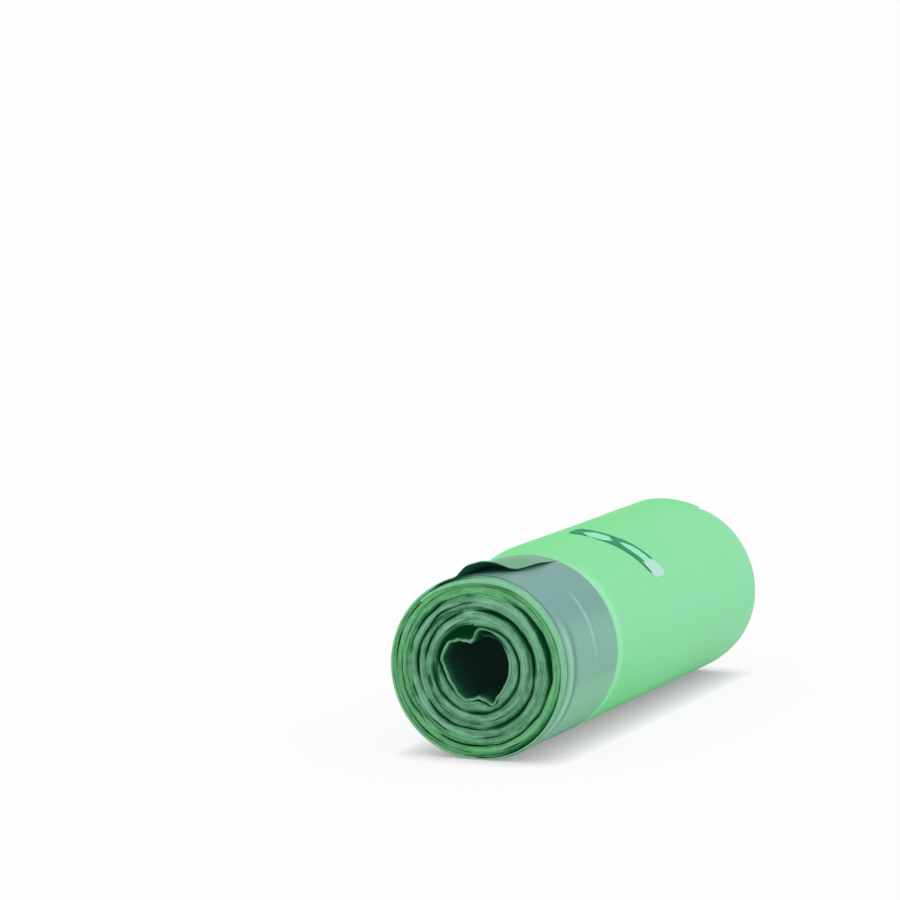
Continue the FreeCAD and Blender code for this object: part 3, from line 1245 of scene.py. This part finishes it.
    def spot(self, column: int, row: int) -> Spot:
        """Place a vertex of the web.

        Args:
            column: Step along the web from its inner end.
            row: Step round the flat loop.

        Returns:
            The vertex and its marks.
        """
        turn = self.turns[column]
        point = self.ring[row]
        angle = self.angle_at(turn)
        outward = 0.5 + 0.5 * point.across
        inner, outer = self.faces_at(turn)
        tight = smooth((turn - self.core_turn) / self.core_fading)
        openness = blend(self.openness_at(turn - 0.5), self.openness_at(turn + 0.5), outward)
        rounding = self.nose_share * (self.nose_base + openness) * (outer - inner)
        nose = blend(self.core_nose * self.core_film, rounding, tight)
        r = blend(inner, outer, outward) + self.slack_shift(turn, point.across)
        half = self.form.length / 2.0
        relief = self.relief_at(angle, r, point.end) * tight
        outset = self.stick_out(turn, point.end) + self.relief * relief - nose * (1.0 - point.nose)
        y = 0.0 if point.inset >= half else point.end.value * (half + outset - point.inset)
        leafy = smooth((turn - self.leafy_turn) / self.leafy_fading)
        innermost = 1.0 - smooth((turn - 0.95) / 0.1)
        in_core = innermost * float(point.across < 0) * smooth((point.inset - 0.4) / 5.0)
        # Painted light and shade on the folded ends: lighter on the leafy outer turns and on ridges, darker
        # in grooves and toward open seams, and a painted highlight on the core's lip.
        fold_light = self.fold_light + self.lightness_of_leaf * leafy + self.relief_light * relief
        fold_light += self.seam_shade * openness * point.across**2
        # The gap mark paints shade deeper in from the end, and the core mark paints shade inside the core
        # and on the web's hidden inner end.
        marks = {
            "tint": self.tint(turn, leafy),
            "end": 1.0,
            "fold_light": fold_light + self.lip_highlight * smooth(2.0 * point.nose) * innermost,
            "pale": 0.0,
            "gap": smooth(point.inset / 3.0),
            "core": max(in_core, 0.9 * self.hidden(turn)),
            "arc": self.arc_at(turn, angle),
            "ply": r,
        }
        return Spot(self.form.place(angle, self.form.above_floor(angle, r), y), marks)

    def build(self, film: bpy.types.Material) -> None:
        """Build the piece and put it in place."""
        mesh = warped_tube(len(self.turns) - 1, len(self.ring), self.spot)
        seat(finished(mesh, "inner_turns", film), Slot.FILM, "bag_web")


@dataclass
class OuterTurn:
    """The outermost turn, from its tail under the lap round to the lap's free edge."""

    form: RollForm
    step: float = 2.5
    first_inset: float = 0.5
    inset_step: float = 1.25
    close_insets: int = 64
    far_insets: tuple[float, ...] = (86.0, 95.0)
    nose_segments: int = 8
    nose_share: float = 0.45

    # How the film is drawn in toward the hem's rim, most where the lap's corner hangs over it.
    hem_taper: float = 0.35
    hem_taper_length: float = 5.0
    hem_overhang: float = 0.8
    overhang_clock: float = -8.0
    overhang_spread: float = 22.0
    overhang_end: float = 20.0

    # How far the ends stand out, and how much less on the lap.
    rim_out: float = 0.1
    rim_sway: float = 0.35
    rim_rate: float = 1.2
    rim_seed: float = 5.0
    lap_back: float = 0.25

    # Where the film looks like the turns' ends: beside each rim, in the hem's grey border and along the lap.
    end_fade: dict[End, float] = field(default_factory=lambda: {End.HEM: 2.0, End.FAR: 0.6})
    end_reach: float = 8.0
    border_window: tuple[float, float, float, float] = (0.2, 0.6, 3.5, 1.5)
    # The painted light on the grey border, brighter on the lap's free edge.
    grey_fold_light: float = 0.85

    # The pale line beside the tape.
    pale_depth: float = 60.5
    pale_breadth: float = 3.2
    pale_share: float = 0.7
    ring: list[RingPoint] = field(init=False)
    columns: int = field(init=False)

    def __post_init__(self) -> None:
        """Lay out the steps round and along the turn."""
        close = [self.first_inset + self.inset_step * i for i in range(self.close_insets)]
        self.ring = flat_loop((*close, *self.far_insets, self.form.length / 2.0), self.nose_segments)
        self.columns = round((self.form.lap_edge - self.form.tail) / self.step)

    def stick_out(self, angle: float, end: End) -> float:
        """How far the fold stands out of the end of the roll.

        Args:
            angle: Angle along the turn.
            end: The end of the roll.

        Returns:
            The distance in millimetres.
        """
        turn = math.radians(angle)
        x, z = self.rim_rate * math.sin(turn), self.rim_rate * math.cos(turn)
        uneven = self.rim_sway * rough(x, z, self.rim_seed * end.value)
        return self.rim_out + uneven - self.lap_back * smooth((angle - self.form.lap_root) / 30.0)

    def taper_at(self, angle: float, rim: float) -> float:
        """How far the film is drawn in at a distance from the nearer rim.

        Args:
            angle: Angle along the turn.
            rim: Distance from the nearer rim.

        Returns:
            The distance in millimetres, positive inward.
        """
        clock = wrapped(angle)
        covered = bump_at(clock, self.overhang_clock, self.overhang_spread)
        overhang = self.hem_overhang * covered * (1.0 - smooth((clock - self.overhang_end) / 3.0))
        taper = (self.hem_taper + overhang) * (1.0 - smooth(rim / self.hem_taper_length))
        return taper * (1.0 - smooth((angle - self.form.lap_root) / 20.0))

    def hem_wrap(self, clock: float, depth: float) -> float:
        """How much the pale hem film wraps the rim."""
        return bump_at(clock, 25.0, 95.0) * (1.0 - smooth((depth - 4.0) / 4.0))

    def tint(self, clock: float, depth: float) -> float:
        """How leafy the film looks, most at the upper left by the lap: painted green light reflected from a
        neighbouring roll, and painted shade low down by the floor.

        Args:
            clock: The clock angle.
            depth: Distance from the hem end.

        Returns:
            The tint, from 0 for mint to 1 for leaf green.
        """
        # Painted reflected green light on the upper left, and painted shade low on the side near the floor.
        top = bump_at(clock, -45.0, 62.0)
        low = 0.35 * bump_at(clock, 120.0, 30.0) * bump_at(depth, 75.0, 40.0)
        return min(max(0.08 + 0.95 * top + low, 0.0), 1.0) * (1.0 - self.hem_wrap(clock, depth))

    def marks_at(self, point: RingPoint, angle: float, depth: float, on_edge: bool) -> dict[str, float]:
        """Tell the finish about a vertex.

        Args:
            point: The point of the flat loop.
            angle: The clock angle along the turn.
            depth: Distance from the hem end.
            on_edge: Whether the vertex is on the lap's free edge.

        Returns:
            The marks, without the place along and across the plies.
        """
        clock = wrapped(angle)
        rim = min(depth, self.form.length - depth)
        under = float(point.across < 0)
        on_lap = smooth((angle - self.form.lap_root - 8.0) / 12.0) * (1.0 - smooth((depth - 20.0) / 20.0))
        edge = float(on_edge) * (1.0 - smooth((depth - 50.0) / 8.0))
        border = (1.0 - under) * window(depth, *self.border_window)
        grey = max(edge, border)
        fade = math.exp(-max(rim, 0.0) / self.end_fade[point.end]) * float(point.inset < self.end_reach)
        end_share = 0.9 * (1.0 - 0.4 * self.hem_wrap(clock, depth))
        # Painted highlights on the rim's rounded fold and on the lap near the hem, and along the lap's free
        # edge.
        fold_light = 0.6 + 0.25 * point.nose + 0.3 * on_lap
        pale = self.pale_share * bump_at(depth, self.pale_depth, self.pale_breadth)
        # Painted shade on the underside, deepening in from the rims and darkest under the lap near the hem.
        return {
            "tint": self.tint(clock, depth) * (1.0 - grey),
            "end": max(end_share * fade, grey),
            "fold_light": blend(fold_light, self.grey_fold_light + 0.3 * edge, grey),
            "pale": pale * smooth((clock - 15.0) / 25.0),
            "gap": under * max(smooth(point.inset / 6.0), on_lap),
            "core": 0.7 * under * on_lap,
        }

    def spot(self, column: int, row: int) -> Spot:
        """Place a vertex of the turn.

        Args:
            column: Step along the turn from its tail.
            row: Step round the flat loop.

        Returns:
            The vertex and its marks.
        """
        point = self.ring[row]
        nominal = blend(self.form.tail, self.form.lap_edge, column / self.columns)
        half = self.form.length / 2.0
        rim_depth = 0.0 if point.end is End.HEM else self.form.length
        nose = self.nose_share * self.form.turn_thickness(self.form.lap_angle(nominal, rim_depth), rim_depth)
        outset = self.stick_out(nominal, point.end) - nose * (1.0 - point.nose) - point.inset
        y = 0.0 if point.inset >= half else point.end.value * (half + outset)
        depth = y + half
        angle = self.form.lap_angle(nominal, depth)
        inward = self.form.turn_thickness(angle, depth) * (0.5 - 0.5 * point.across)
        r = self.form.skin(angle, depth) - self.taper_at(angle, min(half + y, half - y)) - inward
        marks = self.marks_at(point, angle, depth, column == self.columns)
        marks |= {"arc": self.form.radius * math.radians(angle), "ply": r}
        return Spot(self.form.place(angle, r, y), marks)

    def build(self, film: bpy.types.Material) -> None:
        """Build the piece and put it in place."""
        mesh = warped_tube(self.columns, len(self.ring), self.spot)
        seat(finished(mesh, "outer_turn", film), Slot.FILM, "bag_web")


# The drawtape and the label


def strip_share(row: int, rows_across: int) -> tuple[float, bool]:
    """Tell where a row lies across a flat strip, which goes out on its face and back underneath.

    Args:
        row: Step round the strip.
        rows_across: Steps across each side of the strip.

    Returns:
        The share of the way across, and whether the row is on the face.
    """
    on_face = row <= rows_across
    return (row / rows_across if on_face else 2.0 - row / rows_across), on_face


@dataclass
class DrawtapeBand:
    """The drawtape, a flat band that shows through the hem all round the roll and on the lap."""

    form: RollForm
    start: float = -400.0
    edge_margin: float = 0.4
    inset: float = 3.0
    width: float = 55.0
    proud: float = 0.06
    sunk: float = 0.08
    rounding: float = 0.8
    step: float = 2.5
    rows_across: int = 46

    # The film that shows beside the tape, the crease that runs round its middle, and the painted highlight
    # and painted shade of the folds by the rim.
    # A window is a start and a rise, and an end and a fall, in degrees.
    border: float = 1.3
    crease_depth: float = 33.5
    crease_breadth: float = 0.7
    crease_window: tuple[float, float, float, float] = (38.0, 14.0, 72.0, 24.0)
    rim_window: tuple[float, float, float, float] = (50.0, 22.0, 120.0, 30.0)
    rim_ridge_highlight: Ridge = Ridge(7.0, 1.6, 0.6)
    rim_furrow_shade: Ridge = Ridge(12.3, 1.2, 0.8)
    columns: int = field(init=False)

    def __post_init__(self) -> None:
        """Lay out the steps along the band."""
        self.columns = round((self.form.lap_edge - self.start) / self.step)

    def spot(self, column: int, row: int) -> Spot:
        """Place a vertex of the band.

        Args:
            column: Step along the band from its hidden end.
            row: Step across the band, out on its face and back underneath.

        Returns:
            The vertex and its marks.
        """
        share, on_face = strip_share(row, self.rows_across)
        depth = self.inset + self.width * share
        nominal = blend(self.start, self.form.lap_edge - self.edge_margin, column / self.columns)
        angle = self.form.lap_angle(nominal, depth)
        clock = wrapped(angle)
        from_edge = min(share, 1.0 - share) * self.width
        height = blend(-self.sunk, self.proud, smooth(from_edge / self.rounding)) if on_face else -self.sunk
        crease = bump_at(depth, self.crease_depth, self.crease_breadth) * window(clock, *self.crease_window)
        beside_rim = window(clock, *self.rim_window)
        # Painted light low on the roll and beside the rim, a lighter crease round the middle, and the
        # painted highlight and painted shade of the folds by the rim.
        marks = {
            "low": max(smooth((clock - 78.0) / 40.0), 0.5 * beside_rim),
            "lap": smooth((nominal - self.form.lap_root + 20.0) / 30.0),
            "border": float(share > 0.5) * (1.0 - smooth(from_edge / self.border)),
            "crease": max(crease, beside_rim * self.rim_ridge_highlight.height_at(depth)),
            "furrow": beside_rim * self.rim_furrow_shade.height_at(depth),
        }
        r = self.form.skin(angle, depth) + height
        return Spot(self.form.place(angle, r, depth - self.form.length / 2.0), marks)

    def build(self, tape: bpy.types.Material) -> None:
        """Build the piece and put it in place."""
        mesh = warped_tube(self.columns, 2 * self.rows_across, self.spot)
        seat(finished(mesh, "drawtape_band", tape), Slot.TAPE, "drawtape")


@dataclass
class ClosingLabel:
    """The label that holds the lap down, stuck across its free edge."""

    form: RollForm
    start: float = -9.0
    end: float = 56.0
    drop: float = 3.0
    centre: float = 118.0
    slant: float = 5.5
    width: float = 14.0
    thickness: float = 0.2
    glue: float = 0.03
    sunk: float = 0.06
    end_round: float = 0.05
    end_narrowing: float = 0.45
    side_round: float = 0.12
    columns: int = 80
    rows_across: int = 16

    def seat_radius(self, angle: float) -> float:
        """Radius of the face under the label, on the lap and then down its edge.

        Args:
            angle: The clock angle.

        Returns:
            The radius in millimetres.
        """
        if angle <= self.form.lap_edge:
            return self.form.skin(angle, self.centre)
        on_lap = self.form.skin(self.form.lap_edge, self.centre)
        on_turn = self.form.skin(angle - FULL_TURN, self.centre)
        return blend(on_lap, on_turn, smooth((angle - self.form.lap_edge) / self.drop))

    def spot(self, column: int, row: int) -> Spot:
        """Place a vertex of the label.

        Args:
            column: Step along the label from its end on the lap.
            row: Step across the label, out on its face and back underneath.

        Returns:
            The vertex and its marks.
        """
        share, on_face = strip_share(row, self.rows_across)
        along = column / self.columns
        side = 2.0 * share - 1.0
        from_end = min(min(along, 1.0 - along) / self.end_round, 1.0)
        rounded = math.sqrt(max(1.0 - (1.0 - from_end) ** 2, 0.0))
        half_width = (1.0 - self.end_narrowing * (1.0 - rounded)) * self.width / 2.0
        angle = blend(self.start, self.end, along)
        y = self.centre + self.slant * along**2 - self.form.length / 2.0 + side * half_width
        from_side = min(1.0 - abs(side), self.side_round) / self.side_round
        height = self.glue + (self.thickness * smooth(from_side) if on_face else -self.sunk)
        marks = {"along": along, "across": side}
        return Spot(self.form.place(angle, self.seat_radius(angle) + height, y), marks)

    def build(self, label: bpy.types.Material) -> None:
        """Build the piece and put it in place."""
        mesh = warped_tube(self.columns, 2 * self.rows_across, self.spot)
        seat(finished(mesh, "label_strip", label), Slot.LABEL, "closing_label")


# The studio


@dataclass(frozen=True)
class Studio:
    """A pale floor, a soft sky and a large soft lamp, seen through a long lens. Its sizes are in metres."""

    floor_size: float = 60.0
    floor_white: float = 0.93
    floor_glow: float = 0.85
    shadow_reach: float = 0.014
    shadow_depth: float = 0.65
    shadow_samples: int = 4
    sky: float = 0.86
    lamp: float = 0.4
    lamp_softness: float = 70.0
    lamp_from: Vector = field(default_factory=lambda: Vector((0.6, -0.2, 1.0)))
    camera_place: Vector = field(default_factory=lambda: Vector((0.668, -1.818, 0.338)))
    camera_turn: float = 21.7
    camera_pitch: float = 6.91
    lens: float = 200.0

    def floor(self) -> None:
        """Lay the floor, which looks white to the camera and keeps the roll's shadow: the camera mostly sees
        a glow that darkens with ambient occlusion, a painted contact shadow, over the plain floor's real
        shadow.
        """
        mesh = bmesh.new()
        bmesh.ops.create_grid(mesh, x_segments=1, y_segments=1, size=self.floor_size / 2.0)
        white = (self.floor_white, self.floor_white, self.floor_white, 1.0)
        shader = Shader(bpy.data.materials.new("pale_floor"))
        plain = shader.node("ShaderNodeBsdfDiffuse", sockets={"Color": white})
        settings = {"samples": self.shadow_samples}
        reach = {"Distance": self.shadow_reach}
        near = shader.node("ShaderNodeAmbientOcclusion", settings, reach, "Color")
        shaded = shader.mix(self.shadow_depth, WHITE, near)
        glow = shader.node("ShaderNodeEmission", sockets={"Color": shaded})
        seen = shader.node("ShaderNodeLightPath", output="Is Camera Ray")
        mixed = shader.node("ShaderNodeMixShader", sockets={0: seen * self.floor_glow, 1: plain, 2: glow})
        shader.node("ShaderNodeOutputMaterial", sockets={"Surface": mixed})
        finished(mesh, "floor", shader.owner)

    def world(self) -> None:
        """Light the roll from all round, and show white behind it."""
        world = bpy.data.worlds.new("soft_sky")
        bpy.context.scene.world = world
        shader = Shader(world)
        camera_ray = shader.node("ShaderNodeLightPath", output="Is Camera Ray")
        glossy_ray = shader.node("ShaderNodeLightPath", output="Is Glossy Ray")
        seen = camera_ray.maths("MAXIMUM", camera_ray, glossy_ray)
        strength = shader.node("ShaderNodeMapRange", sockets={"Value": seen, "To Min": self.sky})
        sockets = {"Color": WHITE.linear(), "Strength": strength}
        light = shader.node("ShaderNodeBackground", sockets=sockets)
        shader.node("ShaderNodeOutputWorld", sockets={"Surface": light})

    def aimed(self, data: bpy.types.ID, direction: Vector, axis: str) -> bpy.types.Object:
        """Add a lamp or a camera to the scene.

        Args:
            data: The lamp or the camera, which gives the object its name.
            direction: Where its axis points.
            axis: The name of that axis.

        Returns:
            The new object.
        """
        aimed = bpy.data.objects.new(data.name, data)
        aimed.rotation_mode = "QUATERNION"
        aimed.rotation_quaternion = direction.to_track_quat(axis, "Y")
        bpy.context.scene.collection.objects.link(aimed)
        return aimed

    def lamps(self) -> None:
        """Add the soft lamp."""
        data = bpy.data.lights.new("soft_lamp", "SUN")
        data.energy = self.lamp
        data.angle = math.radians(self.lamp_softness)
        self.aimed(data, self.lamp_from, "Z")

    def camera(self) -> None:
        """Place the camera and make it the scene's own."""
        data = bpy.data.cameras.new("camera")
        data.lens = self.lens
        data.clip_end = self.floor_size
        turn, pitch = math.radians(self.camera_turn), math.radians(self.camera_pitch)
        flat = math.cos(pitch)
        view = Vector((-flat * math.sin(turn), flat * math.cos(turn), -math.sin(pitch)))
        camera = self.aimed(data, view, "-Z")
        camera.location = self.camera_place
        bpy.context.scene.camera = camera

    def build(self) -> None:
        """Set up the floor, the light and the camera."""
        self.floor()
        self.world()
        self.lamps()
        self.camera()
        bpy.context.scene.view_settings.view_transform = "Standard"


def main() -> None:
    """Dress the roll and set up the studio."""
    logging.basicConfig(level=logging.INFO, format="%(message)s")
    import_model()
    web_low, web_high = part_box("bag_web")
    tape_low, tape_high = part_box("drawtape")
    radius = (tape_high.x - tape_low.x) / 2.0 / MM
    form = RollForm(length=(web_high.y - web_low.y) / MM, radius=radius)
    film = FilmFinish().material()
    InnerTurns(form).build(film)
    OuterTurn(form).build(film)
    DrawtapeBand(form).build(TapeFinish().material())
    ClosingLabel(form).build(LabelFinish().material())
    Studio().build()


if __name__ == "__main__":
    main()
